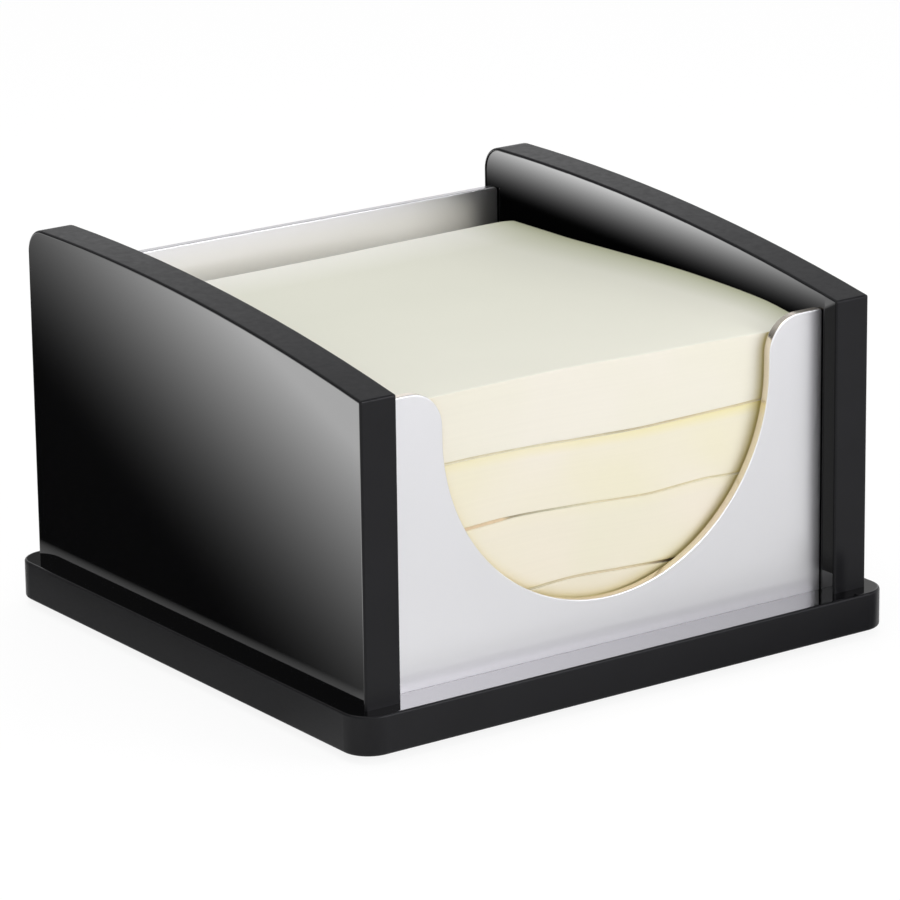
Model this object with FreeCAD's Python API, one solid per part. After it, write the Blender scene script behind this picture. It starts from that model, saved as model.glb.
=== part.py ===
import FreeCAD, Part
import os

# Sticky note holder: a base plate, two arched side panels, a front plate with a half-round scoop,
# a plain back plate, and a stack of four square note pads between them.
# Millimetres. X runs left to right, Y front to back, Z up.
# The origin is the middle of the base, on the table that the feet stand on.

# note pads
pad_size = 76.0
pad_block_heights = (9.6, 11.4, 10.1, 10.8)  # from the lowest pad up
backing_thickness = 0.3
stack_clearance = 0.15  # between two pads, and between the lowest pad and the base

# bay that the pads stand in
pad_left_gap = 4.35
pad_right_gap = 1.35
pad_front_gap = 0.5
pad_back_gap = 6.2

# side panels
panel_thickness = 6.35
panel_over_front_plate = 1.75  # how far a panel's front edge stands above the front plate
panel_back_rise = 7.3  # how much higher a panel is at the back than at the front
arch_radius = 465.0
panel_back_corner_radius = 4.1
panel_edge_radius = 0.4

# base
base_thickness = 6.2
base_margin = 2.9  # how far the base reaches past the panels on every side
base_corner_radius = 4.5
base_edge_radius = 0.4

# aluminium plates
sheet_thickness = 1.5
front_plate_setback = 3.3  # from the panels' front edges
back_plate_setback = 2.5  # from the panels' back edges
plate_end_clearance = 0.1  # between a plate's end and a panel
lobe_width = 10.25  # plate left standing on each side of the scoop
lobe_radius = 5.75
scoop_sill_height = 7.25  # from the base's top to the scoop's lowest point
scoop_straight = 1.7  # upright part between the half round and the lobe
back_plate_height = 47.9  # above the base's top
front_plate_corner_radius = 0.5
back_plate_corner_radius = 0.8
plate_edge_radius = 0.2
groove_depth = 2.5
groove_clearance = 0.05

# screws, from below into the panels
screw_shank_radius = 1.4
screw_length = 13.0
screw_point_length = 1.6
screw_head_radius = 2.75
screw_head_height = 1.6
screw_recess_length = 3.2
screw_recess_width = 0.7
screw_recess_depth = 0.9
screw_head_sink = 0.2  # how deep the head lies in the base's underside
screw_hole_clearance = 0.2
screw_seat_clearance = 0.05
pilot_clearance = 0.02
pilot_spare_depth = 1.0
screw_inset = 16.0  # from a panel's front and back edges

# feet
foot_radius = 4.5
foot_height = 1.2
foot_edge_radius = 0.3
foot_inset = 14.0  # from the base's edges to a foot's centre

# sizes that follow
bay_width = pad_left_gap + pad_size + pad_right_gap
bay_depth = pad_front_gap + pad_size + pad_back_gap
panel_depth = front_plate_setback + bay_depth + 2 * sheet_thickness + back_plate_setback
base_width = bay_width + 2 * panel_thickness + 2 * base_margin
base_depth = panel_depth + 2 * base_margin
base_bottom = foot_height
base_top = base_bottom + base_thickness
panel_front = -panel_depth / 2
panel_back = panel_depth / 2
front_plate_face = panel_front + front_plate_setback
bay_front = front_plate_face + sheet_thickness
bay_back = bay_front + bay_depth
plate_width = bay_width - 2 * plate_end_clearance
scoop_radius = plate_width / 2 - lobe_width
front_plate_height = scoop_sill_height + scoop_radius + scoop_straight + lobe_radius
panel_front_height = front_plate_height + panel_over_front_plate
panel_back_height = panel_front_height + panel_back_rise
overshoot = 1.0  # how far a cutting tool runs past the face it cuts


def vector(x, y, z):
    return FreeCAD.Vector(x, y, z)


def line(start, end):
    return Part.LineSegment(start, end).toShape()


def fillet_edges(solid, radius, wanted):
    return solid.makeFillet(radius, [edge for edge in solid.Edges if wanted(edge)])


def is_vertical(edge):
    ends = [vertex.Point for vertex in edge.Vertexes]
    if len(ends) != 2:
        return False
    return abs(ends[0].x - ends[1].x) < 1e-6 and abs(ends[0].y - ends[1].y) < 1e-6


def bounds_at(edge, axis, value):
    low = getattr(edge.BoundBox, axis + "Min")
    high = getattr(edge.BoundBox, axis + "Max")
    return abs(low - value) < 1e-4 and abs(high - value) < 1e-4


def screw_places():
    for side, side_name in ((-1, "left"), (1, "right")):
        for end, end_name in ((-1, "front"), (1, "back")):
            x = side * (bay_width + panel_thickness) / 2
            y = end * (panel_depth / 2 - screw_inset)
            yield side_name + "_" + end_name, x, y


def foot_places():
    for side, side_name in ((-1, "left"), (1, "right")):
        for end, end_name in ((-1, "front"), (1, "back")):
            x = side * (base_width / 2 - foot_inset)
            y = end * (base_depth / 2 - foot_inset)
            yield side_name + "_" + end_name, x, y


def plate_groove(face_y):
    """The groove that takes the lower edge of a plate whose front face lies at face_y."""
    width = sheet_thickness + 2 * groove_clearance
    length = plate_width + 2 * groove_clearance
    corner = vector(-length / 2, face_y - groove_clearance, base_top - groove_depth)
    return Part.makeBox(length, width, groove_depth + overshoot, corner)


def base_plate():
    corner = vector(-base_width / 2, -base_depth / 2, base_bottom)
    plate = Part.makeBox(base_width, base_depth, base_thickness, corner)
    plate = fillet_edges(plate, base_corner_radius, is_vertical)
    plate = fillet_edges(plate, base_edge_radius, lambda edge: not is_vertical(edge))
    plate = plate.cut(plate_groove(front_plate_face))
    plate = plate.cut(plate_groove(bay_back))
    hole_radius = screw_shank_radius + screw_hole_clearance
    seat_radius = screw_head_radius + screw_seat_clearance
    for name, x, y in screw_places():
        start = vector(x, y, base_bottom - overshoot)
        plate = plate.cut(Part.makeCylinder(hole_radius, base_thickness + 2 * overshoot, start))
        plate = plate.cut(Part.makeCylinder(seat_radius, overshoot + screw_head_sink, start))
        seat = vector(x, y, base_bottom + screw_head_sink)
        plate = plate.cut(Part.makeCone(seat_radius, hole_radius, screw_head_height, seat))
    return plate


def side_panel(side):
    """side is -1 for the left panel and 1 for the right one."""
    inner = side * bay_width / 2
    outer = side * (bay_width / 2 + panel_thickness)
    x = min(inner, outer)
    front_top = vector(x, panel_front, base_top + panel_front_height)
    back_top = vector(x, panel_back, base_top + panel_back_height)
    chord = back_top - front_top
    middle = (front_top + back_top) / 2
    sagitta = arch_radius - (arch_radius**2 - (chord.Length / 2) ** 2) ** 0.5
    normal = vector(0, -chord.z, chord.y).normalize()
    front_foot = vector(x, panel_front, base_top)
    back_foot = vector(x, panel_back, base_top)
    outline = Part.Wire(
        [
            line(front_foot, front_top),
            Part.Arc(front_top, middle + normal * sagitta, back_top).toShape(),
            line(back_top, back_foot),
            line(back_foot, front_foot),
        ]
    )
    panel = Part.Face(outline).extrude(vector(panel_thickness, 0, 0))

    def is_back_corner(edge):
        return bounds_at(edge, "Y", panel_back) and bounds_at(edge, "Z", back_top.z)

    def is_open_edge(edge):
        return edge.BoundBox.ZMax > base_top + 1e-4

    panel = fillet_edges(panel, panel_back_corner_radius, is_back_corner)
    panel = fillet_edges(panel, panel_edge_radius, is_open_edge)
    pilot_radius = screw_shank_radius + pilot_clearance
    screw_top = base_bottom + screw_head_sink + screw_length
    for name, hole_x, hole_y in screw_places():
        depth = screw_top + pilot_spare_depth - base_top
        start = vector(hole_x, hole_y, base_top - overshoot)
        panel = panel.cut(Part.makeCylinder(pilot_radius, depth + overshoot, start))
    return panel


def plain_plate(face_y, height, corner_radius):
    """A flat plate that stands in its groove, its front face at face_y."""
    corner = vector(-plate_width / 2, face_y, base_top - groove_depth)
    plate = Part.makeBox(plate_width, sheet_thickness, height + groove_depth, corner)
    top = base_top + height

    def is_top_corner(edge):
        along_x = bounds_at(edge, "X", plate_width / 2) or bounds_at(edge, "X", -plate_width / 2)
        return along_x and bounds_at(edge, "Z", top)

    return fillet_edges(plate, corner_radius, is_top_corner)


def soften_plate(plate):
    """Takes the sharpness off every edge that stands clear of the base."""
    return fillet_edges(
        plate,
        plate_edge_radius,
        lambda edge: edge.BoundBox.ZMax > base_top and edge.BoundBox.YLength < 1e-4,
    )


def front_plate():
    plate = plain_plate(front_plate_face, front_plate_height, front_plate_corner_radius)
    scoop_centre = base_top + scoop_sill_height + scoop_radius
    top = base_top + front_plate_height
    start = vector(0, front_plate_face - overshoot, scoop_centre)
    tool_depth = sheet_thickness + 2 * overshoot
    scoop = Part.makeCylinder(scoop_radius, tool_depth, start, vector(0, 1, 0))
    opening_corner = vector(-scoop_radius, front_plate_face - overshoot, scoop_centre)
    opening_height = scoop_straight + lobe_radius + overshoot
    opening = Part.makeBox(2 * scoop_radius, tool_depth, opening_height, opening_corner)
    plate = plate.cut(scoop.fuse(opening)).removeSplitter()

    def is_lobe_corner(edge):
        beside_scoop = bounds_at(edge, "X", scoop_radius) or bounds_at(edge, "X", -scoop_radius)
        return beside_scoop and bounds_at(edge, "Z", top)

    plate = fillet_edges(plate, lobe_radius, is_lobe_corner)
    return soften_plate(plate)


def back_plate():
    return soften_plate(plain_plate(bay_back, back_plate_height, back_plate_corner_radius))


def panel_screw(x, y):
    head_bottom = base_bottom + screw_head_sink
    start = vector(x, y, head_bottom)
    head = Part.makeCone(screw_head_radius, screw_shank_radius, screw_head_height, start)
    shank_length = screw_length - screw_point_length
    shank = Part.makeCylinder(screw_shank_radius, shank_length, start)
    point_start = vector(x, y, head_bottom + shank_length)
    point = Part.makeCone(screw_shank_radius, 0, screw_point_length, point_start)
    screw = head.fuse(shank).fuse(point).removeSplitter()
    for length, width in (
        (screw_recess_length, screw_recess_width),
        (screw_recess_width, screw_recess_length),
    ):
        corner = vector(x - length / 2, y - width / 2, head_bottom - overshoot)
        screw = screw.cut(Part.makeBox(length, width, screw_recess_depth + overshoot, corner))
    return screw


def foot(x, y):
    disc = Part.makeCylinder(foot_radius, foot_height, vector(x, y, 0))
    return fillet_edges(disc, foot_edge_radius, lambda edge: bounds_at(edge, "Z", 0))


def pad_slab(bottom, height):
    x = -bay_width / 2 + pad_left_gap
    y = bay_front + pad_front_gap
    return Part.makeBox(pad_size, pad_size, height, vector(x, y, bottom))


def save(name, shape):
    shape.exportStep("parts/" + name + ".step")


os.makedirs("parts", exist_ok=True)
save("base_plate", base_plate())
save("side_panel_left", side_panel(-1))
save("side_panel_right", side_panel(1))
save("front_plate", front_plate())
save("back_plate", back_plate())
for name, x, y in screw_places():
    save("panel_screw_" + name, panel_screw(x, y))
for name, x, y in foot_places():
    save("foot_" + name, foot(x, y))

# the pads, each a block of sheets glued at one edge on its stiffer backing sheet
pad_bottom = base_top + stack_clearance
for number, block_height in enumerate(pad_block_heights, start=1):
    save("pad_backing_%d" % number, pad_slab(pad_bottom, backing_thickness))
    save("note_pad_%d" % number, pad_slab(pad_bottom + backing_thickness, block_height))
    pad_bottom += backing_thickness + block_height + stack_clearance
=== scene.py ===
import math
import bmesh
import bpy
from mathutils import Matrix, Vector, noise


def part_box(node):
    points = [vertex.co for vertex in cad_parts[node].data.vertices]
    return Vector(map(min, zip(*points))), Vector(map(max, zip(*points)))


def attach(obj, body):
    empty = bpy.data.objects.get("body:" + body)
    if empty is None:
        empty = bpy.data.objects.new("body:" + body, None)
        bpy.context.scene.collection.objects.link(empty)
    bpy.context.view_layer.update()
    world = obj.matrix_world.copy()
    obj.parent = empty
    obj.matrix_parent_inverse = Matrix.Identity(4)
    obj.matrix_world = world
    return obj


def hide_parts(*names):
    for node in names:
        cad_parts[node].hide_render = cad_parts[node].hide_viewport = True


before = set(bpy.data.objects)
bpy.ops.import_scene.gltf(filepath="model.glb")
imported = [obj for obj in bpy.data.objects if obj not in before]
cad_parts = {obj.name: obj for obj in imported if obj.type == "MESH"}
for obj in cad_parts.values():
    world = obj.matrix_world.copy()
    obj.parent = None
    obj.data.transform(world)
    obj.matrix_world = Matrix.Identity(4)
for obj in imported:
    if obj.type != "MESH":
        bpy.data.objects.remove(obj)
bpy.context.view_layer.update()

# Desk holder for square sticky notes: black acrylic base and side panels, satin aluminium plates, four pads.
# Metres, in the frame of the CAD model: X to the right, Y to the back, Z up, the table at Z = 0.
mm = 0.001
noiseSpan = {1: 0.3, 2: 0.7}  # Map Range inputs: most of a noise texture's values lie between these two


def linearColour(hexCode):
    parts = [int(hexCode[i : i + 2], 16) / 255 for i in (1, 3, 5)]
    return tuple(c / 12.92 if c <= 0.04045 else ((c + 0.055) / 1.055) ** 2.4 for c in parts) + (1.0,)


def addNode(tree, kind, settings=None, links=None):
    # settings: attributes, or input sockets with their values; links: input sockets with what feeds them
    node = tree.nodes.new(kind)
    for key, value in (settings or {}).items():
        if isinstance(key, str) and hasattr(node, key):
            setattr(node, key, value)
        else:
            node.inputs[key].default_value = value
    for key, socket in (links or {}).items():
        tree.links.new(socket, node.inputs[key])
    return node


def newMaterial(name):
    material = bpy.data.materials.new(name)
    material.use_nodes = True
    material.node_tree.nodes.clear()
    return material, material.node_tree


cameraView = {
    "place": (-442.724, -625.760, 260.594),  # mm
    "turn": (73.075, 0.690, -35.540),  # degrees about X, Y and Z
    "lens": 205.148,
    "filmWidth": 36,
    "clip": (0.05, 20),  # metres
}


def makeCamera():
    data = bpy.data.cameras.new("camera")
    data.lens = cameraView["lens"]
    data.sensor_width = cameraView["filmWidth"]
    data.clip_start, data.clip_end = cameraView["clip"]
    camera = bpy.data.objects.new("camera", data)
    camera.location = Vector(cameraView["place"]) * mm
    camera.rotation_euler = [math.radians(a) for a in cameraView["turn"]]
    bpy.context.scene.collection.objects.link(camera)
    bpy.context.scene.camera = camera
    bpy.context.scene.view_settings.view_transform = "Standard"


room = {
    "wallColour": "#f8f8f9",
    "horizonLight": 1.0,
    "ceilingLight": 0.4,
    "ceilingFrom": 0.33,  # sine of the elevation where the room starts to darken
    "ceilingFull": 0.64,
    "screenTowards": (-0.574, 0.819, 0.0),  # a dark screen stands at the back left
    "screenEdge": 0.72,
    "screenFull": 0.94,
    "screenLight": 0.08,
    "screenFoot": (0.08, 0.22),  # sines of the elevations over which the screen begins
    "floorColour": "#f1f1f1",
    "floorRoughness": 0.8,
    "floorGloss": 0.1,
    "floorHalf": 3000,  # mm
    "floorOwnWhite": 0.80,  # share of the floor that the camera and reflections see as plain white
    "whiteLevel": 1.09,
}


def makeRoom():
    world = bpy.data.worlds.new("studioRoom")
    bpy.context.scene.world = world
    world.use_nodes = True
    tree = world.node_tree
    tree.nodes.clear()
    direction = addNode(tree, "ShaderNodeTexCoord").outputs["Generated"]
    height = addNode(tree, "ShaderNodeSeparateXYZ", {}, {0: direction}).outputs[2]
    low, high = room["ceilingFrom"], room["ceilingFull"]
    upward = addNode(
        tree,
        "ShaderNodeMapRange",
        {"interpolation_type": "SMOOTHSTEP", 1: low, 2: high, 3: room["horizonLight"], 4: room["ceilingLight"]},
        {0: height},
    )
    towards = addNode(
        tree,
        "ShaderNodeVectorMath",
        {"operation": "DOT_PRODUCT", 1: room["screenTowards"]},
        {0: direction},
    )
    low, high = room["screenEdge"], room["screenFull"]
    screen = addNode(
        tree,
        "ShaderNodeMapRange",
        {"interpolation_type": "SMOOTHSTEP", 1: low, 2: high, 3: 1.0, 4: room["screenLight"]},
        {0: towards.outputs["Value"]},
    )
    low, high = room["screenFoot"]
    foot = addNode(tree, "ShaderNodeMapRange", {1: low, 2: high, 3: 1.0, 4: 0.0}, {0: height})
    either = {0: screen.outputs[0], 1: foot.outputs[0]}
    lifted = addNode(tree, "ShaderNodeMath", {"operation": "MAXIMUM"}, either)
    factors = {0: upward.outputs[0], 1: lifted.outputs[0]}
    level = addNode(tree, "ShaderNodeMath", {"operation": "MULTIPLY"}, factors)
    wall = linearColour(room["wallColour"])
    studio = addNode(tree, "ShaderNodeBackground", {"Color": wall}, {"Strength": level.outputs[0]})
    white = addNode(tree, "ShaderNodeBackground", {"Color": linearColour("#ffffff"), "Strength": 1.0})
    seen = addNode(tree, "ShaderNodeLightPath").outputs["Is Camera Ray"]
    mix = addNode(tree, "ShaderNodeMixShader", {}, {0: seen, 1: studio.outputs[0], 2: white.outputs[0]})
    addNode(tree, "ShaderNodeOutputWorld", {}, {0: mix.outputs[0]})


def stagePiece(name, bm, material):
    mesh = bpy.data.meshes.new(name)
    bm.to_mesh(mesh)
    bm.free()
    mesh.materials.append(material)
    piece = bpy.data.objects.new(name, mesh)
    bpy.context.scene.collection.objects.link(piece)
    return piece


def makeTable():
    material, tree = newMaterial("paintedTable")
    path = addNode(tree, "ShaderNodeLightPath")
    seen = path.outputs["Is Camera Ray"]
    for ray in ("Is Glossy Ray", "Is Transmission Ray"):
        either = addNode(tree, "ShaderNodeMath", {"operation": "MAXIMUM"}, {0: seen, 1: path.outputs[ray]})
        seen = either.outputs[0]
    share = addNode(tree, "ShaderNodeMath", {"operation": "MULTIPLY", 1: room["floorOwnWhite"]}, {0: seen})
    paint = addNode(
        tree,
        "ShaderNodeBsdfPrincipled",
        {
            "Base Color": linearColour(room["floorColour"]),
            "Roughness": room["floorRoughness"],
            "Specular IOR Level": room["floorGloss"],
        },
    )
    plain = {"Color": linearColour("#ffffff"), "Strength": room["whiteLevel"]}
    white = addNode(tree, "ShaderNodeEmission", plain)
    shaders = {0: share.outputs[0], 1: paint.outputs[0], 2: white.outputs[0]}
    mix = addNode(tree, "ShaderNodeMixShader", {}, shaders)
    addNode(tree, "ShaderNodeOutputMaterial", {}, {0: mix.outputs[0]})
    bm = bmesh.new()
    bmesh.ops.create_grid(bm, x_segments=2, y_segments=2, size=room["floorHalf"] * mm)
    stagePiece("tableTop", bm, material)


lamps = {
    # place and aim in mm, width and height in mm, radiance, and whether glossy finishes mirror it
    "overheadSoftbox": {
        "place": (-60, 60, 620),
        "aim": (0, 0, 30),
        "size": (520, 520),
        "radiance": 1.6,
        "mirrored": True,
    },
    "frontRightSoftbox": {
        "place": (576, -677, 225),
        "aim": (0, -45, 25),
        "size": (528, 304),
        "radiance": 5.5,
        "mirrored": False,
    },
    "frontLeftSoftbox": {
        "place": (-420, -560, 420),
        "aim": (0, 0, 25),
        "size": (420, 420),
        "radiance": 0.8,
        "mirrored": True,
    },
}


def makeLamps():
    for name, lamp in lamps.items():
        width, height = lamp["size"]
        data = bpy.data.lights.new(name, "AREA")
        data.shape = "RECTANGLE"
        data.size = width * mm
        data.size_y = height * mm
        data.energy = lamp["radiance"] * math.pi * width * height * mm * mm
        light = bpy.data.objects.new(name, data)
        place = Vector(lamp["place"])
        light.location = place * mm
        light.rotation_euler = (Vector(lamp["aim"]) - place).to_track_quat("-Z", "Y").to_euler()
        light.visible_camera = False
        light.visible_glossy = lamp["mirrored"]
        bpy.context.scene.collection.objects.link(light)


def underPanelArch(x, front, back, bottom):
    # corners in mm of an upright card that ends just below the rim of a side panel's inner face
    belowRim = 0.1
    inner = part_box("side_panel_right")[0].x
    rim = set()
    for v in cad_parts["side_panel_right"].data.vertices:
        y, z = round(v.co.y / mm, 2), round(v.co.z / mm, 2)
        if abs(v.co.x - inner) < 0.01 * mm and front < y < back and z > bottom:
            rim.add((x, y, z - belowRim))
    return sorted(rim, key=lambda corner: -corner[1])


def even(value):
    # a ramp that has the same value everywhere
    return ((1, 0, 0), 0, 1, 1, value, value)


gradedCards = {
    # Glowing cards that only glossy finishes mirror: painted reflections, which light nothing. Corners in mm,
    # anticlockwise seen from the glowing side.
    # Strength and cover are products of ramps: direction, from, to (both mm), power, value before and after.
    # A card without a cover is closed, and bothSides adds the same card at the left.
    "sideTable": {
        # painted reflection for the panels' outer faces: lies on the table at each side of the object, nearly
        # black beside it, brighter outwards and forwards
        "corners": ((50.4, -46, 0.4), (205, -46, 0.4), (205, 300, 0.4), (50.4, 300, 0.4)),
        "bothSides": True,
        "strength": (((1.078, -0.382, 0), 61.1, 112.9, 2.25, 0.012, 2.6),),
        "cover": (
            ((1, 0, 0), 50.4, 63.2, 6, 0.55, 1),
            ((1, 0, 0), 205, 165, 1, 0, 1),
            ((0, 1, 0), -45, -21, 1, 0, 1),
            ((0, 1, 0), 300, 275, 1, 0, 1),
        ),
    },
    "panelLiner": {
        # painted reflection for each side panel's inner face: stands close inside the panel, under its arch,
        # black up to the pads' top and lighter above
        "corners": (
            (40.5, -42.5, 7.6),
            (40.5, 45.4, 7.6),
            *underPanelArch(40.5, -42.5, 45.5, 50),
            (40.5, -42.5, 54.7),
        ),
        "bothSides": True,
        "strength": (((0, -0.0507, 1), 51.1, 59.8, 2.5, 0.002, 4.35),),
    },
    "panelLip": {
        # the same painted reflection in front of the front plate, lighter only over the plate's top
        "corners": ((40.5, -45.7, 10.5), (40.5, -42.5, 10.5), (40.5, -42.5, 54.7), (40.5, -45.7, 54.1)),
        "bothSides": True,
        "strength": (((0, 0, 1), 8, 14, 1, 0.01, 0.16), ((0, 0.515, 1), 30.4, 31.0, 1, 1, 7)),
    },
    "frontTable": {
        # painted reflection for the front faces: lies on the table in front, brighter near the base, and a
        # little darker to the right as painted shadow
        "corners": ((-160, -320, 0.3), (240, -320, 0.3), (240, -48.9, 0.3), (-160, -48.9, 0.3)),
        "strength": (((0, -1, 0), 62, 73, 1, 1.6, 0.985), ((1, 0, 0), -60, 60, 1, 0.87, 0.79)),
        "cover": (
            ((0, -1, 0), 320, 250, 1, 0, 1),
            ((1, 0, 0), -160, -110, 1, 0, 1),
            ((1, 0, 0), 240, 190, 1, 0, 1),
        ),
    },
    "paintedFrontShadow": {
        # painted shadow of the object on the table, where the polished front faces mirror it: a dark strip just
        # over the frontTable card, close to the base and denser to the right
        "corners": ((-60, -70, 0.5), (150, -70, 0.5), (150, -49.2, 0.5), (-60, -49.2, 0.5)),
        "strength": (even(0.05),),
        "cover": (
            ((0, 1, 0), -65, -61, 1, 0, 1),
            ((1, 0, 0), -100, 60, 1, 0, 1),
            ((1, 0, 0), 150, 110, 1, 0, 1),
        ),
    },
    "frontWall": {
        # painted reflection for the front plate and the strip of base before it: stands far in front at the
        # right, brighter at its left and higher up
        "corners": ((480, -520, 60), (60, -520, 60), (60, -520, 420), (480, -520, 420)),
        "colour": "#fbf9ff",
        "strength": (((1, 0, 0), 230, 440, 1, 5.0, 1.25), ((0, 0, 1), 228, 320, 1, 1, 2.2)),
        "cover": (((1, 0, 0), 60, 110, 1, 0, 1), ((1, 0, 0), 480, 440, 1, 0, 1)),
    },
    "stripFlag": {
        # a dark painted reflection: stands before the front plate, beside the right panel, and blackens that
        # strip's right end
        "corners": ((43.9, -47.1, 7.6), (43.9, -50.5, 7.6), (43.9, -50.5, 14), (43.9, -47.1, 14)),
        "strength": (even(0.004),),
        "cover": (((0, 1, 0), -50.5, -48.6, 1, 0, 1), ((0, 0, 1), 14, 12, 1, 0, 1)),
    },
    "rightCornerCard": {
        # painted reflection: stands behind at the right, dim, for the base's polished front right corner
        "corners": ((112, 60, 34), (156, 60, 34), (156, 60, 76), (112, 60, 76)),
        "strength": (even(0.4),),
        "cover": (
            ((1, 0, 0), 112, 124, 1, 0, 1),
            ((1, 0, 0), 156, 146, 1, 0, 1),
            ((0, 0, 1), 34, 44, 1, 0, 1),
            ((0, 0, 1), 76, 64, 1, 0, 1),
        ),
    },
    "backCornerCard": {
        # painted reflection: stands farther behind, dim, for the base's polished back left corner
        "corners": ((14, 200, 42), (72, 200, 42), (72, 200, 86), (14, 200, 86)),
        "strength": (even(0.1),),
        "cover": (
            ((1, 0, 0), 14, 28, 1, 0, 1),
            ((1, 0, 0), 72, 58, 1, 0, 1),
            ((0, 0, 1), 42, 52, 1, 0, 1),
            ((0, 0, 1), 86, 76, 1, 0, 1),
        ),
    },
    "overPads": {
        # painted reflection for the back plate: hovers over the back half of the pads and evens out what the
        # back plate mirrors
        "corners": ((-36, 5, 51.9), (40.4, 5, 51.9), (40.4, 35.7, 51.9), (-36, 35.7, 51.9)),
        "colour": "#fffefc",
        "strength": (even(0.85),),
        "cover": (((0, 1, 0), 5, 12, 1, 0, 1), ((1, 0, 0), 44, 26, 1, 0, 1)),
    },
    "behindPads": {
        # painted reflection of the pads' back in the back plate, with painted shade darker downwards: stands
        # behind the pads
        "corners": ((40.4, 35.8, 30), (-37, 35.8, 30), (-37, 35.8, 51.9), (40.4, 35.8, 51.9)),
        "colour": "#fffced",
        "strength": (((0, 0, 1), 45.8, 49.6, 1, 0.4, 0.87),),
        "cover": (((1, 0, 0), 44, 26, 1, 0, 1),),
    },
}


def rampProduct(tree, place, ramps):
    product = addNode(tree, "ShaderNodeValue")
    product.outputs[0].default_value = 1.0
    for direction, start, end, power, before, after in ramps:
        along = addNode(tree, "ShaderNodeVectorMath", {"operation": "DOT_PRODUCT", 1: direction}, {0: place})
        share = addNode(tree, "ShaderNodeMapRange", {1: start, 2: end}, {0: along.outputs["Value"]})
        curve = addNode(tree, "ShaderNodeMath", {"operation": "POWER", 1: power}, {0: share.outputs[0]})
        value = addNode(
            tree,
            "ShaderNodeMath",
            {"operation": "MULTIPLY_ADD", 1: after - before, 2: before},
            {0: curve.outputs[0]},
        )
        factors = {0: product.outputs[0], 1: value.outputs[0]}
        product = addNode(tree, "ShaderNodeMath", {"operation": "MULTIPLY"}, factors)
    return product.outputs[0]


def makeGradedCards():
    for cardName, card in gradedCards.items():
        bothSides = card.get("bothSides", False)
        material, tree = newMaterial(cardName + "Card")
        coords = addNode(tree, "ShaderNodeTexCoord").outputs["Object"]
        scaling = {"operation": "SCALE", "Scale": 1 / mm}
        inMillimetres = addNode(tree, "ShaderNodeVectorMath", scaling, {0: coords})
        split = addNode(tree, "ShaderNodeSeparateXYZ", {}, {0: inMillimetres.outputs[0]})
        across = split.outputs[0]
        if bothSides:
            across = addNode(tree, "ShaderNodeMath", {"operation": "ABSOLUTE"}, {0: across}).outputs[0]
        parts = {0: across, 1: split.outputs[1], 2: split.outputs[2]}
        place = addNode(tree, "ShaderNodeCombineXYZ", {}, parts).outputs[0]
        glow = addNode(
            tree,
            "ShaderNodeEmission",
            {"Color": linearColour(card.get("colour", "#ffffff"))},
            {"Strength": rampProduct(tree, place, card["strength"])},
        )
        reverse = addNode(tree, "ShaderNodeNewGeometry").outputs["Backfacing"]
        glowingSide = addNode(tree, "ShaderNodeMath", {"operation": "SUBTRACT", 0: 1.0}, {1: reverse})
        cover = rampProduct(tree, place, card.get("cover", ()))
        shown = addNode(tree, "ShaderNodeMath", {"operation": "MULTIPLY"}, {0: cover, 1: glowingSide.outputs[0]})
        clear = addNode(tree, "ShaderNodeBsdfTransparent")
        shaders = {0: shown.outputs[0], 1: clear.outputs[0], 2: glow.outputs[0]}
        mix = addNode(tree, "ShaderNodeMixShader", {}, shaders)
        addNode(tree, "ShaderNodeOutputMaterial", {}, {0: mix.outputs[0]})
        for side in (1, -1) if bothSides else (1,):
            bm = bmesh.new()
            bm.faces.new([bm.verts.new(Vector((side * x, y, z)) * mm) for x, y, z in card["corners"]])
            if side < 0:
                bmesh.ops.reverse_faces(bm, faces=bm.faces)
            piece = stagePiece(cardName + ("CardLeft" if side < 0 else "Card"), bm, material)
            piece.visible_camera = False
            piece.visible_diffuse = False
            piece.visible_transmission = False
            piece.visible_shadow = False
            piece.visible_volume_scatter = False


makeCamera()
makeRoom()
makeTable()
makeLamps()
makeGradedCards()
print("studio ready")


acrylic = {
    "ior": 1.49,
    "faceColour": "#040405",
    "faceRoughness": (0.03, 0.06),
    "faceLimit": 0.97,  # how closely a face looks along the sheet's axis to count as moulded
    "hazeSize": 12,  # mm
    "rippleDepth": 0.01,  # mm
    "panelCoat": 1.0,
    "baseCoat": 0.35,
    "coatRoughness": 0.02,
    "edgeColours": ("#0d0d0f", "#161619"),
    "edgeRoughness": (0.34, 0.42),
    "edgeGloss": 0.2,
    "edgeCloudSize": 11,  # mm
    "sawMarkSize": (1.25, 1.25, 0.25),  # mm, drawn a little coarser than real so that it shows
    "sawMarkDepth": 0.04,  # mm
}


def polishedAcrylic(name, coat):
    # Cast black acrylic sheet (PMMA), its moulded faces as they leave the glass: deep black, mirror-like.
    material, tree = newMaterial(name)
    coords = addNode(tree, "ShaderNodeTexCoord").outputs["Object"]
    perHaze = 1 / (acrylic["hazeSize"] * mm)
    clouds = {"Scale": perHaze, "Detail": 4.0, "Roughness": 0.55}
    haze = addNode(tree, "ShaderNodeTexNoise", clouds, {0: coords})
    low, high = acrylic["faceRoughness"]
    roughness = addNode(tree, "ShaderNodeMapRange", {**noiseSpan, 3: low, 4: high}, {0: haze.outputs[0]})
    depth = acrylic["rippleDepth"] * mm
    ripple = addNode(tree, "ShaderNodeBump", {"Strength": 0.01, "Distance": depth}, {"Height": haze.outputs[0]})
    shader = addNode(
        tree,
        "ShaderNodeBsdfPrincipled",
        {
            "Base Color": linearColour(acrylic["faceColour"]),
            "IOR": acrylic["ior"],
            "Coat Weight": coat,
            "Coat IOR": acrylic["ior"],
            "Coat Roughness": acrylic["coatRoughness"],
        },
        {"Roughness": roughness.outputs[0], "Normal": ripple.outputs[0]},
    )
    addNode(tree, "ShaderNodeOutputMaterial", {}, {0: shader.outputs[0]})
    return material


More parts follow.
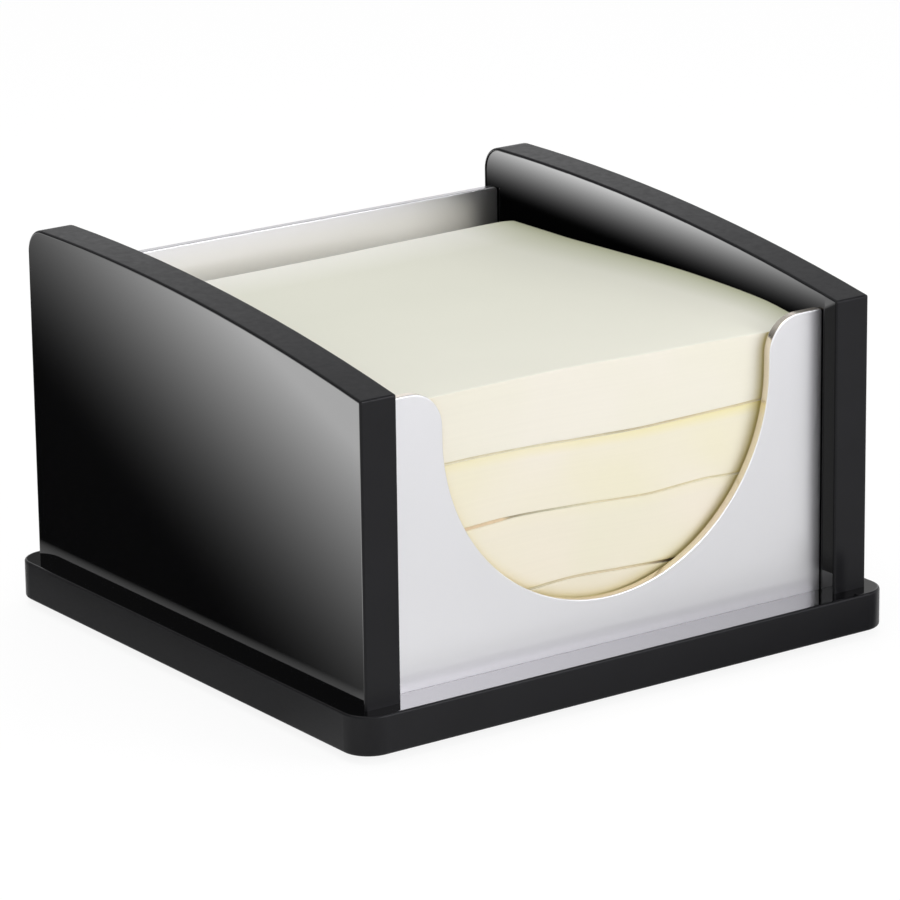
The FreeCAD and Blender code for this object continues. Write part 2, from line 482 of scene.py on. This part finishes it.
def sawnAcrylicEdge():
    # The sawn edges of the same sheet, sanded and buffed to satin: dark grey, with fine marks along the cut.
    material, tree = newMaterial("sawnAcrylicEdge")
    coords = addNode(tree, "ShaderNodeTexCoord").outputs["Object"]
    perMark = [1 / (size * mm) for size in acrylic["sawMarkSize"]]
    along = addNode(tree, "ShaderNodeMapping", {"Scale": perMark}, {0: coords}).outputs[0]
    marks = addNode(tree, "ShaderNodeTexNoise", {"Scale": 1.0, "Detail": 3.0, "Roughness": 0.6}, {0: along})
    perCloud = 1 / (acrylic["edgeCloudSize"] * mm)
    cloud = addNode(tree, "ShaderNodeTexNoise", {"Scale": perCloud, "Detail": 4.0}, {0: coords})
    dark, light = acrylic["edgeColours"]
    colour = addNode(
        tree,
        "ShaderNodeMix",
        {"data_type": "RGBA", 6: linearColour(dark), 7: linearColour(light)},
        {0: cloud.outputs[0]},
    )
    low, high = acrylic["edgeRoughness"]
    roughness = addNode(tree, "ShaderNodeMapRange", {**noiseSpan, 3: low, 4: high}, {0: marks.outputs[0]})
    depth = acrylic["sawMarkDepth"] * mm
    bump = addNode(tree, "ShaderNodeBump", {"Strength": 0.2, "Distance": depth}, {"Height": marks.outputs[0]})
    shader = addNode(
        tree,
        "ShaderNodeBsdfPrincipled",
        {"IOR": acrylic["ior"], "Specular IOR Level": acrylic["edgeGloss"]},
        {"Base Color": colour.outputs[2], "Roughness": roughness.outputs[0], "Normal": bump.outputs[0]},
    )
    addNode(tree, "ShaderNodeOutputMaterial", {}, {0: shader.outputs[0]})
    return material


sheetMetal = {
    "colours": ("#e8e8ea", "#e4e4e6"),
    "roughness": (0.33, 0.38),
    "faceLimit": 0.4,  # the same for the plates, less strict: softened edges count as faces
    "grainSize": 0.2,  # mm
    "grainDepth": 0.02,  # mm
    "patchSize": 16,  # mm
    # painted reflection: the front plate's cut edges are tinted warm like the paper they face; painted shade:
    # the back plate's are darker
    "frontEdgeWithPaintedReflection": "#f5ecdf",
    "backEdgeWithPaintedShade": "#cfced1",
    "edgeRoughness": (0.18, 0.26),
    "edgeDragSize": 0.4,  # mm
}


def satinAnodisedAluminium():
    # Sheet aluminium, etched and clear anodised: a soft silver without brush lines, with a sparkle of grain.
    material, tree = newMaterial("satinAnodisedAluminium")
    coords = addNode(tree, "ShaderNodeTexCoord").outputs["Object"]
    perGrain = 1 / (sheetMetal["grainSize"] * mm)
    sparkle = {"Scale": perGrain, "Detail": 2.0, "Roughness": 0.7}
    grain = addNode(tree, "ShaderNodeTexNoise", sparkle, {0: coords})
    perPatch = 1 / (sheetMetal["patchSize"] * mm)
    patches = addNode(tree, "ShaderNodeTexNoise", {"Scale": perPatch, "Detail": 3.0}, {0: coords})
    first, second = sheetMetal["colours"]
    colour = addNode(
        tree,
        "ShaderNodeMix",
        {"data_type": "RGBA", 6: linearColour(first), 7: linearColour(second)},
        {0: patches.outputs[0]},
    )
    low, high = sheetMetal["roughness"]
    roughness = addNode(tree, "ShaderNodeMapRange", {**noiseSpan, 3: low, 4: high}, {0: grain.outputs[0]})
    depth = sheetMetal["grainDepth"] * mm
    bump = addNode(tree, "ShaderNodeBump", {"Strength": 0.05, "Distance": depth}, {"Height": grain.outputs[0]})
    shader = addNode(
        tree,
        "ShaderNodeBsdfPrincipled",
        {"Metallic": 1.0},
        {"Base Color": colour.outputs[2], "Roughness": roughness.outputs[0], "Normal": bump.outputs[0]},
    )
    addNode(tree, "ShaderNodeOutputMaterial", {}, {0: shader.outputs[0]})
    return material


def blankedAluminiumEdge(name, colour):
    # The cut edges of the same sheet, deburred and smoother than its faces: they mirror the paper beside, and
    # their colour adds a painted reflection of the paper on the front plate and painted shade on the back
    # plate.
    material, tree = newMaterial(name)
    coords = addNode(tree, "ShaderNodeTexCoord").outputs["Object"]
    perDrag = 1 / (sheetMetal["edgeDragSize"] * mm)
    drag = addNode(tree, "ShaderNodeTexNoise", {"Scale": perDrag, "Detail": 2.0}, {0: coords})
    low, high = sheetMetal["edgeRoughness"]
    roughness = addNode(tree, "ShaderNodeMapRange", {**noiseSpan, 3: low, 4: high}, {0: drag.outputs[0]})
    shader = addNode(
        tree,
        "ShaderNodeBsdfPrincipled",
        {"Metallic": 1.0, "Base Color": linearColour(colour)},
        {"Roughness": roughness.outputs[0]},
    )
    addNode(tree, "ShaderNodeOutputMaterial", {}, {0: shader.outputs[0]})
    return material


screws = {"colours": ("#b9bcc0", "#d6d8da"), "roughness": (0.25, 0.38), "cloudSize": 0.7}  # size in mm


def zincPlatedSteel():
    # Zinc plated screws: cool grey, a little cloudy, brighter than bare steel.
    material, tree = newMaterial("zincPlatedSteel")
    coords = addNode(tree, "ShaderNodeTexCoord").outputs["Object"]
    perCloud = 1 / (screws["cloudSize"] * mm)
    cloud = addNode(tree, "ShaderNodeTexNoise", {"Scale": perCloud, "Detail": 3.0}, {0: coords})
    dark, light = screws["colours"]
    colour = addNode(
        tree,
        "ShaderNodeMix",
        {"data_type": "RGBA", 6: linearColour(dark), 7: linearColour(light)},
        {0: cloud.outputs[0]},
    )
    low, high = screws["roughness"]
    roughness = addNode(tree, "ShaderNodeMapRange", {**noiseSpan, 3: low, 4: high}, {0: cloud.outputs[0]})
    shader = addNode(
        tree,
        "ShaderNodeBsdfPrincipled",
        {"Metallic": 1.0},
        {"Base Color": colour.outputs[2], "Roughness": roughness.outputs[0]},
    )
    addNode(tree, "ShaderNodeOutputMaterial", {}, {0: shader.outputs[0]})
    return material


feet = {
    "colours": ("#1a1a1a", "#262626"),
    "roughness": (0.75, 0.9),
    "stippleSize": 0.33,  # mm
    "stippleDepth": 0.05,  # mm
}


def mouldedRubber():
    # Moulded rubber bumpers: matt, nearly black, with a fine stipple.
    material, tree = newMaterial("mouldedRubber")
    coords = addNode(tree, "ShaderNodeTexCoord").outputs["Object"]
    perStipple = 1 / (feet["stippleSize"] * mm)
    stipple = addNode(tree, "ShaderNodeTexNoise", {"Scale": perStipple, "Detail": 2.0}, {0: coords})
    dark, light = feet["colours"]
    colour = addNode(
        tree,
        "ShaderNodeMix",
        {"data_type": "RGBA", 6: linearColour(dark), 7: linearColour(light)},
        {0: stipple.outputs[0]},
    )
    low, high = feet["roughness"]
    roughness = addNode(tree, "ShaderNodeMapRange", {**noiseSpan, 3: low, 4: high}, {0: stipple.outputs[0]})
    depth = feet["stippleDepth"] * mm
    bump = addNode(tree, "ShaderNodeBump", {"Strength": 0.3, "Distance": depth}, {"Height": stipple.outputs[0]})
    shader = addNode(
        tree,
        "ShaderNodeBsdfPrincipled",
        {"IOR": 1.5},
        {"Base Color": colour.outputs[2], "Roughness": roughness.outputs[0], "Normal": bump.outputs[0]},
    )
    addNode(tree, "ShaderNodeOutputMaterial", {}, {0: shader.outputs[0]})
    return material


def finishHolder():
    sawn = sawnAcrylicEdge()
    aluminium = satinAnodisedAluminium()
    base = polishedAcrylic("polishedAcrylicBase", acrylic["baseCoat"])
    panel = polishedAcrylic("polishedAcrylicPanel", acrylic["panelCoat"])
    frontEdge = blankedAluminiumEdge("blankedFrontEdge", sheetMetal["frontEdgeWithPaintedReflection"])
    backEdge = blankedAluminiumEdge("blankedBackEdge", sheetMetal["backEdgeWithPaintedShade"])
    finishes = {
        # start of the node's name: its finish, and for cut sheet its edges' finish, the axis that its faces
        # look along, and how closely a face looks along it to count as one
        "base_plate": (base, sawn, 2, acrylic["faceLimit"]),
        "side_panel": (panel, sawn, 0, acrylic["faceLimit"]),
        "front_plate": (aluminium, frontEdge, 1, sheetMetal["faceLimit"]),
        "back_plate": (aluminium, backEdge, 1, sheetMetal["faceLimit"]),
        "panel_screw": (zincPlatedSteel(), None, 0, 0),
        "foot": (mouldedRubber(), None, 0, 0),
    }
    for nodeName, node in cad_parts.items():
        for start, (finish, edge, axis, limit) in finishes.items():
            if not nodeName.startswith(start):
                continue
            materials = node.data.materials
            materials.clear()
            materials.append(finish)
            if edge:
                materials.append(edge)
                for face in node.data.polygons:
                    face.material_index = 0 if abs(face.normal[axis]) > limit else 1


finishHolder()
print("holder finished")


padLow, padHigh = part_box("note_pad_1")
pads = {
    # mm, where nothing else is said
    "left": padLow.x / mm,
    "right": padHigh.x / mm,
    "front": padLow.y / mm,
    "back": padHigh.y / mm,
    "floor": 7.6,
    "lowestBacking": 0.3,  # thickness of the sheet that lies on the floor
    "lowestRise": 0.475,  # from the floor to the lowest pad's underside
    "flatSeams": (17.55, 29.4, 39.95, 51.0),  # mean heights of the tops of the pads
    "waveFade": 1.3,  # power with which a seam's wave dies out towards the back
    "seamDrift": 0.1,  # how far a seam strays from its line
    "driftPerMm": 0.05,
    "driftFullAt": 10,  # from the front
    "gap": 0.025,  # above and below a backing sheet
    "backingInset": 0.12,
    "topSurface": 0.12,  # how far the top sheets lie under the top seam's height
    "edgeRelief": 0.05,  # how uneven the cut sides are
    "stepPerMm": (0.02, 1.7),  # along a side and up it
    "bowPerMm": (0.035, 0.09),
    "reliefInset": 2.4,  # in edgeReliefs, which keeps the sides within the pad's size
    "cutCorner": 0.15,
    "cutsAcross": 72,  # number of cuts in the mesh
    "cutsUp": 15,
}
seams = (
    # For the seam over each pad: its height along the front as (x, z), the thickness of the backing sheet over
    # it as (x, thickness), and the colour of the backing's cut edge as (x, colour), its own tan darkened to
    # olive as painted shadow where the seam lies in shade. The last one is the stack's top.
    {
        "heights": (
            (-36, 17.3), (-20, 17.6), (-14, 17.8), (-6, 18.15), (3, 17.7),
            (8, 17.45), (13, 17.2), (20, 17.3), (39, 17.5),
        ),
        "thickness": ((-14, 0.27), (3, 0.3), (9, 0.2), (12, 0.3), (20, 0.22)),
        "colours": ((-12, "#cfc5a7"), (-7, "#d8caab"), (2, "#ddceaf"), (8, "#d7c7a4"), (12, "#54442a")),
    },
    {
        "heights": (
            (-36, 29.1), (-25, 29.5), (-17, 29.8), (-13, 29.72), (-8, 29.48), (-2, 29.12),
            (3, 28.78), (9, 28.47), (14, 28.65), (20, 28.83), (26, 28.5), (39, 28.4),
        ),
        "thickness": ((-28, 0.45), (-19, 0.42), (-17, 0.26), (-8, 0.22), (9, 0.2), (25, 0.2)),
        "colours": (
            (-28, "#dec5a2"), (-18.5, "#e4cba7"), (-17, "#a59a7e"), (-8, "#ccc5aa"),
            (-1, "#e6dbbb"), (5, "#e1d3b2"), (20, "#e5dab9"),
        ),
    },
    {
        "heights": (
            (-36, 40.05), (-29, 40.15), (-23, 40.22), (-11, 39.95), (-5, 39.62), (1, 39.38),
            (7, 39.17), (14, 39.2), (20, 39.27), (26, 39.35), (32, 39.5), (39, 39.6),
        ),
        "thickness": ((-29, 0.2), (-5, 0.2), (1, 0.24), (7, 0.22), (20, 0.19)),
        "colours": (
            (-29, "#e6dcbf"), (-20, "#ded3b6"), (-14, "#e3daba"), (-4, "#dfd3b4"), (1, "#cfc4a5"),
            (4, "#c6ba9c"), (8, "#d6c8a8"), (14, "#d8c8a5"), (20, "#e3d4b0"), (28, "#dccda8"),
        ),
    },
    {
        "heights": (
            (-36, 50.9), (-31, 50.92), (-19, 51.04), (-6, 51.08),
            (7, 50.68), (20, 50.42), (30, 50.09), (39, 49.95),
        ),
    },
)
topSheets = {
    # how the loose top sheets of the stack lie, in mm
    "frontCurl": 6.0,  # the front edge's wave dies out over this depth
    "bulgeAlongRight": (
        (-41, 0.0), (-36, 0.5), (-31, 0.85), (-26, 1.0), (-20, 1.1), (-12, 1.14), (-5, 1.06),
        (1, 0.88), (7.3, 0.67), (13.7, 0.46), (20, 0.23), (26, 0.15), (31, 0.08), (36, 0.0),
    ),
    "bulgeFrom": 14.0,  # x where the bulge starts
    "bulgePower": 1.6,
    "backRise": (
        (-36, -0.2), (-15, -0.17), (-2, -0.1), (6, 0.0), (14, 0.14),
        (21, 0.2), (27, 0.27), (33, 0.32), (37, 0.29), (39.5, 0.05),
    ),
    "backRiseFrom": 8.0,  # y where the back edge's own shape starts
    "backRisePower": 1.3,
}


def smoothThrough(points, x):
    # a smooth curve through (position, value) pairs
    last = len(points) - 1
    if x <= points[0][0]:
        return points[0][1]
    if x >= points[last][0]:
        return points[last][1]
    i = next(k for k in range(last) if x <= points[k + 1][0])

    def slope(k):
        (xa, za), (xb, zb) = points[max(0, k - 1)], points[min(last, k + 1)]
        return (zb - za) / (xb - xa)

    (xa, za), (xb, zb) = points[i], points[i + 1]
    t = (x - xa) / (xb - xa)
    bent = (xb - xa) * ((1 - t) * slope(i) - t * slope(i + 1))
    return za + (zb - za) * t * t * (3 - 2 * t) + t * (1 - t) * bent


def seamHeight(k, x, y):
    # mm; k counts the pads under the seam
    if k == 0:
        return pads["floor"]
    flat = pads["flatSeams"][k - 1]
    wave = smoothThrough(seams[k - 1]["heights"], x) - flat
    fromFront = y - pads["front"]
    if k < len(seams):
        perMm = pads["driftPerMm"]
        drift = pads["seamDrift"] * noise.noise(Vector((x * perMm, y * perMm, k * 3.7)))
        depth = max(0.0, 1 - fromFront / (pads["back"] - pads["front"]))
        return flat + wave * depth ** pads["waveFade"] + drift * min(1, fromFront / pads["driftFullAt"])
    t = topSheets
    height = flat + wave * math.exp(-fromFront / t["frontCurl"])
    outward = max(0.0, (x - t["bulgeFrom"]) / (pads["right"] - t["bulgeFrom"]))
    height += smoothThrough(t["bulgeAlongRight"], y) * outward ** t["bulgePower"]
    backward = max(0.0, (y - t["backRiseFrom"]) / (pads["back"] - t["backRiseFrom"]))
    return height + smoothThrough(t["backRise"], x) * backward ** t["backRisePower"]


def backingThickness(k, x):
    # mm; k counts the pads under the sheet
    return smoothThrough(seams[k - 1]["thickness"], x) if k else pads["lowestBacking"]


def finishPiece(bm, name, materials, body, stands):
    bmesh.ops.recalc_face_normals(bm, faces=bm.faces)
    mesh = bpy.data.meshes.new(name)
    bm.to_mesh(mesh)
    bm.free()
    for material in materials:
        mesh.materials.append(material)
    piece = bpy.data.objects.new(name, mesh)
    bpy.context.scene.collection.objects.link(piece)
    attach(piece, body)
    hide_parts(stands)
    return piece


def wavyBlock(bottom, top, cutsUp, inset):
    # a square block between two uneven levels, in mm, with a UV map of its sheets: along the side, and up
    # from 0 to 1
    bm = bmesh.new()
    bmesh.ops.create_cube(bm, size=1.0)
    level = [e for e in bm.edges if abs(e.verts[0].co.z - e.verts[1].co.z) < 0.5]
    bmesh.ops.subdivide_edges(bm, edges=level, cuts=pads["cutsAcross"], use_grid_fill=True)
    if cutsUp:
        upright = [e for e in bm.edges if abs(e.verts[0].co.z - e.verts[1].co.z) > 0.5]
        bmesh.ops.subdivide_edges(bm, edges=upright, cuts=cutsUp, use_grid_fill=True)
    sheetMap = bm.loops.layers.uv.new("sheetMap")
    width = pads["right"] - pads["left"] - 2 * inset
    middleX = (pads["left"] + pads["right"]) / 2
    middleY = (pads["front"] + pads["back"]) / 2
    for face in bm.faces:
        face.normal_update()
        for loop in face.loops:
            co = loop.vert.co
            along = co.x if abs(face.normal.y) > 0.5 else co.y
            loop[sheetMap].uv = (along * width * mm, co.z + 0.5)
    for v in bm.verts:
        x = middleX + v.co.x * width
        y = middleY + v.co.y * width
        low, high = bottom(x, y), top(x, y)
        v.co = Vector((x, y, low + (high - low) * (v.co.z + 0.5)))
    return bm


def makePad(k, materials):
    # k counts the pads under this one
    last = len(seams) - 1

    def bottom(x, y):
        if k == 0:
            return pads["floor"] + pads["lowestRise"]
        return seamHeight(k, x, y) + backingThickness(k, x) / 2 + pads["gap"]

    def top(x, y):
        if k == last:
            return seamHeight(k + 1, x, y) - pads["topSurface"]
        return seamHeight(k + 1, x, y) - backingThickness(k + 1, x) / 2 - pads["gap"]

    bm = wavyBlock(bottom, top, pads["cutsUp"], 0.0)
    bm.normal_update()
    for face in bm.faces:
        face.material_index = 0 if abs(face.normal.z) > 0.6 else 1
        face.smooth = True
    sides = {(0, -1): pads["left"], (0, 1): pads["right"], (1, -1): pads["front"], (1, 1): pads["back"]}
    relief = pads["edgeRelief"]
    (stepAlong, stepUp), (bowAlong, bowUp) = pads["stepPerMm"], pads["bowPerMm"]
    for v in bm.verts:
        outward = Vector((0, 0, 0))
        for (axis, sign), place in sides.items():
            if abs(v.co[axis] - place) < 1e-4:
                outward[axis] = sign
        if outward.length:
            # the sheets step in and out from level to level, and the whole side bows
            along = v.co.x * abs(outward.y) + v.co.y * abs(outward.x)
            step = relief * noise.noise(Vector((along * stepAlong, v.co.z * stepUp, k * 5.1)))
            bow = 2 * relief * noise.noise(Vector((along * bowAlong, v.co.z * bowUp, 9 + k * 2.3)))
            v.co += outward * (step + bow - pads["reliefInset"] * relief)
    bmesh.ops.scale(bm, vec=(mm, mm, mm), verts=bm.verts)
    number = k + 1
    body = f"pad_{number}"
    pad = finishPiece(bm, f"note_block_{number}", materials, body, f"note_pad_{number}")
    bevel = pad.modifiers.new("cutCorners", "BEVEL")
    bevel.width = pads["cutCorner"] * mm
    bevel.segments = 2
    bevel.limit_method = "ANGLE"
    bevel.angle_limit = math.radians(40)


def makeBacking(k, material):
    # the stiffer sheet under pad k, in the seam
    def bottom(x, y):
        return seamHeight(k, x, y) - (backingThickness(k, x) / 2 if k else 0.0)

    def top(x, y):
        return bottom(x, y) + backingThickness(k, x)

    bm = wavyBlock(bottom, top, 0, pads["backingInset"])
    for face in bm.faces:
        face.smooth = abs(face.normal.z) > 0.6
    bmesh.ops.scale(bm, vec=(mm, mm, mm), verts=bm.verts)
    number = k + 1
    body = f"pad_{number}"
    finishPiece(bm, f"backing_sheet_{number}", [material], body, f"pad_backing_{number}")


def setStops(elements, start, end, stops):
    # gives a colour ramp its (place, colour) stops, with places from start to end
    while len(elements) > 1:
        elements.remove(elements[-1])
    for index, (place, hexCode) in enumerate(stops):
        position = (place - start) / (end - start)
        element = elements[0] if index == 0 else elements.new(position)
        element.position = position
        element.color = linearColour(hexCode)


notePaper = {
    # painted light: the paper's colour is lighter towards the front and back edges
    "tonesWithPaintedLight": ((-38, "#f2f1e3"), (5, "#ececdd"), (24, "#ececdd"), (35.5, "#f9f8ef")),  # (y in mm, colour)
    "mottle": (0.985, 1.0),
    "mottleSize": 22,  # mm
    # painted shade: the darker olive colour along the sheets' right edge
    "paintedShade": "#c6c9aa",
    "paintedShadeAlong": (-30, 30),  # y in mm
    "paintedShadeWidth": (6.5, 13.0),  # mm, there
    "paintedShadePower": 1.3,
    "roughness": (0.78, 0.9),
    "gloss": 0.25,
    "fibreSize": 0.6,  # mm
    "fibreDepth": 0.02,  # mm
}


def uncoatedNotePaper():
    # Uncoated note paper, face up: matt, pale yellow, with a soft mottle, and lighter at its front and back
    # edges as painted light.
    material, tree = newMaterial("uncoatedNotePaper")
    coords = addNode(tree, "ShaderNodeTexCoord").outputs["Object"]
    perFibre = 1 / (notePaper["fibreSize"] * mm)
    pulp = {"Scale": perFibre, "Detail": 4.0, "Roughness": 0.6}
    fibre = addNode(tree, "ShaderNodeTexNoise", pulp, {0: coords})
    perMottle = 1 / (notePaper["mottleSize"] * mm)
    mottle = addNode(tree, "ShaderNodeTexNoise", {"Scale": perMottle, "Detail": 2.0}, {0: coords})
    scaling = {"operation": "SCALE", "Scale": 1 / mm}
    inMillimetres = addNode(tree, "ShaderNodeVectorMath", scaling, {0: coords})
    split = addNode(tree, "ShaderNodeSeparateXYZ", {}, {0: inMillimetres.outputs[0]})
    start, end = pads["front"], pads["back"]
    backward = addNode(tree, "ShaderNodeMapRange", {1: start, 2: end}, {0: split.outputs[1]})
    tonesWithPaintedLight = addNode(tree, "ShaderNodeValToRGB", {}, {0: backward.outputs[0]})
    setStops(tonesWithPaintedLight.color_ramp.elements, start, end, notePaper["tonesWithPaintedLight"])
    low, high = notePaper["mottle"]
    shade = addNode(tree, "ShaderNodeMapRange", {**noiseSpan, 3: low, 4: high}, {0: mottle.outputs[0]})
    sources = {0: tonesWithPaintedLight.outputs[0], "Scale": shade.outputs[0]}
    paper = addNode(tree, "ShaderNodeVectorMath", {"operation": "SCALE"}, sources)
    # painted shade along the sheets' right edge, darker and more olive, over a width that grows from front to
    # back
    low, high = notePaper["paintedShadeAlong"]
    narrow, wide = notePaper["paintedShadeWidth"]
    width = addNode(tree, "ShaderNodeMapRange", {1: low, 2: high, 3: narrow, 4: wide}, {0: split.outputs[1]})
    inset = addNode(tree, "ShaderNodeMath", {"operation": "SUBTRACT", 0: pads["right"]}, {1: split.outputs[0]})
    share = addNode(
        tree,
        "ShaderNodeMath",
        {"operation": "DIVIDE", "use_clamp": True},
        {0: inset.outputs[0], 1: width.outputs[0]},
    )
    near = addNode(tree, "ShaderNodeMath", {"operation": "SUBTRACT", 0: 1.0}, {1: share.outputs[0]})
    raising = {"operation": "POWER", 1: notePaper["paintedShadePower"]}
    paintedShade = addNode(tree, "ShaderNodeMath", raising, {0: near.outputs[0]})
    colour = addNode(
        tree,
        "ShaderNodeMix",
        {"data_type": "RGBA", 7: linearColour(notePaper["paintedShade"])},
        {0: paintedShade.outputs[0], 6: paper.outputs[0]},
    )
    low, high = notePaper["roughness"]
    roughness = addNode(tree, "ShaderNodeMapRange", {**noiseSpan, 3: low, 4: high}, {0: fibre.outputs[0]})
    depth = notePaper["fibreDepth"] * mm
    bump = addNode(tree, "ShaderNodeBump", {"Strength": 0.12, "Distance": depth}, {"Height": fibre.outputs[0]})
    shader = addNode(
        tree,
        "ShaderNodeBsdfPrincipled",
        {"IOR": 1.5, "Specular IOR Level": notePaper["gloss"]},
        {"Base Color": colour.outputs[2], "Roughness": roughness.outputs[0], "Normal": bump.outputs[0]},
    )
    addNode(tree, "ShaderNodeOutputMaterial", {}, {0: shader.outputs[0]})
    return material


cutEdges = {
    # from the lowest pad up: two colours that drift into each other, and how much the adhesive yellows its top
    "pads": (
        {"colours": ("#ebe3d0", "#e6dfc8"), "yellowing": 0.0},
        {"colours": ("#efe7d6", "#ece7d1"), "yellowing": 0.15},
        {"colours": ("#f0e9d9", "#eee8cf"), "yellowing": 0.9},
        {"colours": ("#f0ebde", "#eeeada"), "yellowing": 0.0},
    ),
    "driftSize": 19,  # mm
    "driftSpan": (0.35, 0.65),
    "lineLength": 45,  # mm
    "linesUp": 25.0,  # in a pad's height
    "lineShade": (0.985, 1.0),
    "lineDepth": 0.03,  # mm
    "glue": "#f0e6b0",
    "glueFrom": 0.8,  # share of the pad's height
    "glueAlong": (-20, 36),  # x in mm
    "glueAmount": (0.45, 1.0),  # there
    # painted shade: the colour that crevices are darkened towards
    "creviceShadeColour": "#efe3ac",
    "creviceReach": 3,  # mm
    "creviceOpenness": (0.8, 0.35),
    "roughness": 0.85,
    "gloss": 0.2,
}


def cutPaperEdge(k):
    # The guillotined side of a pad: about a hundred 0.1 mm sheet edges, drawn as faint lines 0.4 mm apart.
    look = cutEdges["pads"][k]
    material, tree = newMaterial(f"cutPaperEdge{k + 1}")
    coords = addNode(tree, "ShaderNodeTexCoord").outputs["Object"]
    sheetMap = addNode(tree, "ShaderNodeUVMap", {"uv_map": "sheetMap"}).outputs[0]
    perLine = (1 / (cutEdges["lineLength"] * mm), cutEdges["linesUp"], 1.0)
    levels = addNode(tree, "ShaderNodeMapping", {"Scale": perLine}, {0: sheetMap}).outputs[0]
    lines = addNode(tree, "ShaderNodeTexNoise", {"Scale": 1.0, "Detail": 3.0, "Roughness": 0.65}, {0: levels})
    perDrift = 1 / (cutEdges["driftSize"] * mm)
    cloud = addNode(tree, "ShaderNodeTexNoise", {"Scale": perDrift, "Detail": 1.5}, {0: coords})
    low, high = cutEdges["driftSpan"]
    drift = addNode(tree, "ShaderNodeMapRange", {1: low, 2: high}, {0: cloud.outputs[0]})
    first, second = look["colours"]
    paper = addNode(
        tree,
        "ShaderNodeMix",
        {"data_type": "RGBA", 6: linearColour(first), 7: linearColour(second)},
        {0: drift.outputs[0]},
    )
    up = addNode(tree, "ShaderNodeSeparateXYZ", {}, {0: sheetMap}).outputs[1]
    right = addNode(tree, "ShaderNodeSeparateXYZ", {}, {0: coords}).outputs[0]
    nearTop = addNode(
        tree,
        "ShaderNodeMapRange",
        {"interpolation_type": "SMOOTHSTEP", 1: cutEdges["glueFrom"], 2: 1.0},
        {0: up},
    )
    (start, end), (less, more) = cutEdges["glueAlong"], cutEdges["glueAmount"]
    toRight = addNode(tree, "ShaderNodeMapRange", {1: start * mm, 2: end * mm, 3: less, 4: more}, {0: right})
    factors = {0: nearTop.outputs[0], 1: toRight.outputs[0]}
    glue = addNode(tree, "ShaderNodeMath", {"operation": "MULTIPLY"}, factors)
    yellowing = {"operation": "MULTIPLY", 1: look["yellowing"]}
    amount = addNode(tree, "ShaderNodeMath", yellowing, {0: glue.outputs[0]})
    tinted = addNode(
        tree,
        "ShaderNodeMix",
        {"data_type": "RGBA", 7: linearColour(cutEdges["glue"])},
        {0: amount.outputs[0], 6: paper.outputs[2]},
    )
    low, high = cutEdges["lineShade"]
    shade = addNode(tree, "ShaderNodeMapRange", {**noiseSpan, 3: low, 4: high}, {0: lines.outputs[0]})
    sources = {0: tinted.outputs[2], "Scale": shade.outputs[0]}
    colour = addNode(tree, "ShaderNodeVectorMath", {"operation": "SCALE"}, sources)
    # painted shade: where ambient occlusion finds a crevice, the colour is darkened towards olive, standing in
    # for light that has bounced off paper there
    reach = cutEdges["creviceReach"] * mm
    openness = addNode(tree, "ShaderNodeAmbientOcclusion", {"Distance": reach, "samples": 8}).outputs["AO"]
    clear, shut = cutEdges["creviceOpenness"]
    crevice = addNode(tree, "ShaderNodeMapRange", {1: clear, 2: shut}, {0: openness})
    shadedInCrevice = addNode(
        tree,
        "ShaderNodeMix",
        {"data_type": "RGBA", "blend_type": "MULTIPLY", 7: linearColour(cutEdges["creviceShadeColour"])},
        {0: crevice.outputs[0], 6: colour.outputs[0]},
    )
    depth = cutEdges["lineDepth"] * mm
    bump = addNode(tree, "ShaderNodeBump", {"Strength": 0.07, "Distance": depth}, {"Height": lines.outputs[0]})
    shader = addNode(
        tree,
        "ShaderNodeBsdfPrincipled",
        {"IOR": 1.5, "Specular IOR Level": cutEdges["gloss"], "Roughness": cutEdges["roughness"]},
        {"Base Color": shadedInCrevice.outputs[2], "Normal": bump.outputs[0]},
    )
    addNode(tree, "ShaderNodeOutputMaterial", {}, {0: shader.outputs[0]})
    return material


backing = {
    "lowestColours": ((0, "#b9a27a"), (1, "#cdb98c")),  # (x in mm, colour) of the sheet on the base
    "shade": (0.9, 1.0),
    "roughness": (0.5, 0.65),
    "gloss": 0.3,
    "fibreSize": 1.5,  # mm
}


def releasePaper(k):
    # The pad's backing, a glazed release paper. Its cut edge goes from tan to olive grey: glue in the seam, and
    # painted shadow where the seam lies in shade.
    material, tree = newMaterial(f"releasePaper{k + 1}")
    coords = addNode(tree, "ShaderNodeTexCoord").outputs["Object"]
    start, end = pads["left"], pads["right"]
    right = addNode(tree, "ShaderNodeSeparateXYZ", {}, {0: coords}).outputs[0]
    share = addNode(tree, "ShaderNodeMapRange", {1: start * mm, 2: end * mm}, {0: right})
    edge = addNode(tree, "ShaderNodeValToRGB", {}, {0: share.outputs[0]})
    setStops(edge.color_ramp.elements, start, end, seams[k - 1]["colours"] if k else backing["lowestColours"])
    perFibre = 1 / (backing["fibreSize"] * mm)
    fibre = addNode(tree, "ShaderNodeTexNoise", {"Scale": perFibre, "Detail": 3.0}, {0: coords})
    low, high = backing["shade"]
    shade = addNode(tree, "ShaderNodeMapRange", {**noiseSpan, 3: low, 4: high}, {0: fibre.outputs[0]})
    sources = {0: edge.outputs[0], "Scale": shade.outputs[0]}
    colour = addNode(tree, "ShaderNodeVectorMath", {"operation": "SCALE"}, sources)
    low, high = backing["roughness"]
    roughness = addNode(tree, "ShaderNodeMapRange", {**noiseSpan, 3: low, 4: high}, {0: fibre.outputs[0]})
    shader = addNode(
        tree,
        "ShaderNodeBsdfPrincipled",
        {"IOR": 1.5, "Specular IOR Level": backing["gloss"]},
        {"Base Color": colour.outputs[0], "Roughness": roughness.outputs[0]},
    )
    addNode(tree, "ShaderNodeOutputMaterial", {}, {0: shader.outputs[0]})
    return material


paperFace = uncoatedNotePaper()
for k in range(len(seams)):
    makePad(k, [paperFace, cutPaperEdge(k)])
    makeBacking(k, releasePaper(k))
print("pads ready")
